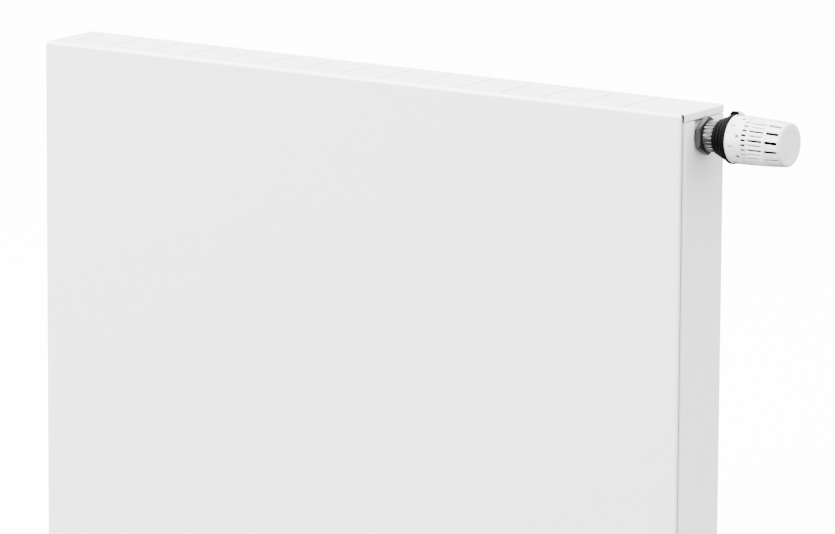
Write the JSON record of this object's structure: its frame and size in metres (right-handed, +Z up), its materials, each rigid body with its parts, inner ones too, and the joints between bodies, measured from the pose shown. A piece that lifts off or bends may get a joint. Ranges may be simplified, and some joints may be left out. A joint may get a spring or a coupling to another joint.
{
  "type": "panel radiator with thermostatic valve",
  "caption": "Flat-fronted white steel panel radiator with slotted top grille, side covers and a thermostatic valve head at the top right.",
  "frame": {"origin": "on the floor plane of the casing, in the middle of the whole object's width and depth, lugs and valve head included", "axes": "+X from the plain end to the valve end, +Y from the front face to the wall, +Z up"},
  "size_m": [0.903, 0.095, 0.6022],
  "materials": {
    "enamel_white": "smooth semi-gloss white powder coat",
    "enamel_inside": "matt white primer coat",
    "foam_tape": "foam tape",
    "zinc_steel": "zinc-plated steel",
    "spring_steel": "bright spring steel",
    "nickel_plate": "satin nickel plate on brass",
    "valve_grey": "dull grey nickel plate on brass",
    "brass": "turned brass",
    "sensor_can": "lacquered can full of liquid, given a plastic's density because its metal wall is thin",
    "rubber": "black rubber",
    "head_black": "black moulded plastic",
    "head_white": "white moulded plastic",
    "red_plastic": "red moulded plastic"
  },
  "bodies": {
    "radiator": {"front_fascia": "enamel_white", "side_cover_left": "enamel_white", "side_cover_right": "enamel_white", "rear_panel_outer_sheet": "enamel_white", "wall_lug_lower_left": "enamel_white", "wall_lug_lower_right": "enamel_white", "wall_lug_upper_left": "enamel_white", "wall_lug_upper_right": "enamel_white", "front_panel_outer_sheet": "enamel_inside", "front_panel_inner_sheet": "enamel_inside", "rear_panel_inner_sheet": "enamel_inside", "convector_1": "enamel_inside", "convector_2": "enamel_inside", "convector_3": "enamel_inside", "convector_4": "enamel_inside", "convector_5": "enamel_inside", "convector_6": "enamel_inside", "tee_top_left": "enamel_inside", "tee_bottom_left": "enamel_inside", "tee_bottom_right": "enamel_inside", "valve_tee": "enamel_inside", "riser_pipe": "enamel_inside", "fascia_pad_1": "foam_tape", "fascia_pad_2": "foam_tape", "fascia_pad_3": "foam_tape", "fascia_pad_4": "foam_tape", "connection_bracket": "zinc_steel", "return_nipple": "nickel_plate", "supply_nipple": "nickel_plate", "riser_socket": "nickel_plate", "blind_plug": "nickel_plate", "vent_plug": "nickel_plate", "union_nut": "nickel_plate", "valve_body": "valve_grey", "spring_retainer": "brass", "blind_plug_seal": "rubber", "vent_plug_seal": "rubber", "valve_body_seal": "rubber", "head_base": "head_black"},
    "grille": {"top_grille": "enamel_white", "grille_clip_1": "spring_steel", "grille_clip_2": "spring_steel", "grille_clip_3": "spring_steel"},
    "sensor": {"sensor_capsule": "sensor_can", "sensor_piston": "nickel_plate", "overtravel_spring": "spring_steel"},
    "handle": {"handle": "head_white", "end_cap": "head_white", "end_disc": "head_white", "sensor_carrier": "head_black", "limit_clip_1": "red_plastic", "limit_clip_2": "red_plastic"},
    "valve_pin": {"valve_spindle": "nickel_plate", "valve_disc": "rubber", "return_spring": "spring_steel"},
    "preset_ring": {"preset_ring": "red_plastic"},
    "vent_screw": {"vent_screw": "brass"},
    "vent_spout": {"vent_spout": "head_white"}
  },
  "joints": [
    {"name": "grille_lift", "type": "slide", "parent": "radiator", "child": "grille", "axis": [0, 0, 1], "range_m": [0, 0.06]},
    {"name": "sensor_shift", "type": "slide", "parent": "radiator", "child": "sensor", "axis": [1, 0, 0], "range_m": [-0.0022, 0.00112], "deforming": ["overtravel_spring"]},
    {"name": "handle_turn", "type": "hinge", "parent": "sensor", "child": "handle", "pos_m": [0.4185, -0.005, 0.574], "axis": [1, 0, 0], "range_deg": [-166, 84]},
    {"name": "pin_travel", "type": "slide", "parent": "radiator", "child": "valve_pin", "axis": [1, 0, 0], "range_m": [-0.0022, 0.00112], "deforming": ["return_spring"]},
    {"name": "preset_turn", "type": "hinge", "parent": "radiator", "child": "preset_ring", "pos_m": [0.3645, -0.005, 0.574], "axis": [1, 0, 0], "range_deg": [0, 315]},
    {"name": "vent_open", "type": "hinge", "parent": "radiator", "child": "vent_screw", "pos_m": [-0.4435, -0.005, 0.574], "axis": [-1, 0, 0], "range_deg": [0, 330]},
    {"name": "vent_spout_turn", "type": "hinge", "parent": "radiator", "child": "vent_spout", "pos_m": [-0.4485, -0.005, 0.574], "axis": [1, 0, 0], "continuous": true}
  ],
  "couplings": [
    {"joint": "sensor_shift", "follows": "handle_turn", "m_per_rad": 0.0007563},
    {"joint": "pin_travel", "follows": "handle_turn", "m_per_rad": 0.0007563}
  ]
}
